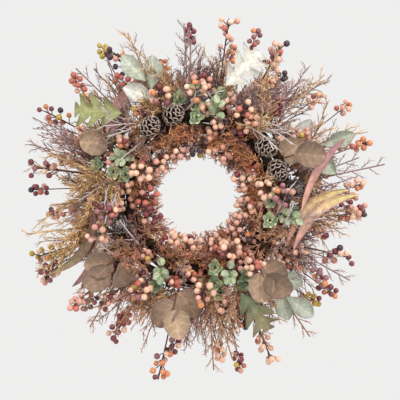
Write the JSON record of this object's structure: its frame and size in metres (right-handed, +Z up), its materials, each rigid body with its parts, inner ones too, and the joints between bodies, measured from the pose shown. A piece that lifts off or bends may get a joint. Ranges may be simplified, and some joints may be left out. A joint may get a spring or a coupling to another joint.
{
  "type": "harvest door wreath",
  "caption": "Round autumn wreath on a grapevine ring with berries, twigs, leaves, cones and pods, hung by a wire loop.",
  "frame": {"origin": "the hook seat: the inside of the top of the hanger loop", "axes": "+Z up, front of the wreath towards -Y, door behind at +Y"},
  "size_m": [0.5864, 0.1371, 0.5909],
  "materials": {
    "vine": "rough bark",
    "vine_wrap": "rough bark",
    "florist_wire": "green lacquer",
    "hanger_wire": "drawn wire",
    "pinecone": "dry scales",
    "pod": "dry, dull",
    "oak_leaf": "printed cloth leaf",
    "blade": "printed cloth leaf",
    "velvet_leaf": "flocked",
    "silver_leaf": "pale matt cloth leaf",
    "green_leaf": "matt moulded leaf",
    "berry": "satin lacquer on foam",
    "twig": "matt moulded twig"
  },
  "bodies": {
    "wreath": {"berry_pick_1": "berry", "berry_pick_10": "berry", "berry_pick_11": "berry", "berry_pick_12": "berry", "berry_pick_2": "berry", "berry_pick_3": "berry", "berry_pick_4": "berry", "berry_pick_5": "berry", "berry_pick_6": "berry", "berry_pick_7": "berry", "berry_pick_8": "berry", "berry_pick_9": "berry", "blade_spray_1": "blade", "blade_spray_2": "blade", "blade_spray_3": "blade", "blade_spray_4": "blade", "dried_pod_1": "pod", "dried_pod_2": "pod", "green_sprig_1": "green_leaf", "green_sprig_2": "green_leaf", "green_sprig_3": "green_leaf", "green_sprig_4": "green_leaf", "green_sprig_5": "green_leaf", "hanger_anchor": "hanger_wire", "oak_leaf_1": "oak_leaf", "oak_leaf_2": "oak_leaf", "oak_leaf_3": "oak_leaf", "pinecone_1": "pinecone", "pinecone_2": "pinecone", "pinecone_3": "pinecone", "pinecone_4": "pinecone", "silver_leaf_spray_1": "silver_leaf", "silver_leaf_spray_2": "silver_leaf", "silver_leaf_spray_3": "silver_leaf", "twig_spray_1": "twig", "twig_spray_10": "twig", "twig_spray_2": "twig", "twig_spray_3": "twig", "twig_spray_4": "twig", "twig_spray_5": "twig", "twig_spray_6": "twig", "twig_spray_7": "twig", "twig_spray_8": "twig", "twig_spray_9": "twig", "velvet_leaf_spray_1": "velvet_leaf", "velvet_leaf_spray_2": "velvet_leaf", "velvet_leaf_spray_3": "velvet_leaf", "velvet_leaf_spray_4": "velvet_leaf", "velvet_leaf_spray_5": "velvet_leaf", "vine_core": "vine", "vine_hoop_1": "vine", "vine_hoop_2": "vine", "vine_hoop_3": "vine", "vine_hoop_4": "vine", "vine_hoop_5": "vine", "vine_hoop_6": "vine", "vine_hoop_7": "vine", "vine_wraps": "vine_wrap", "wire_ties": "florist_wire"},
    "hanger": {"hanger_loop": "hanger_wire"}
  },
  "joints": [
    {"name": "hanger_swing", "type": "hinge", "parent": "wreath", "child": "hanger", "pos_m": [0, 0, -0.04375], "axis": [-1, 0, 0], "range_deg": [0, 165]}
  ]
}
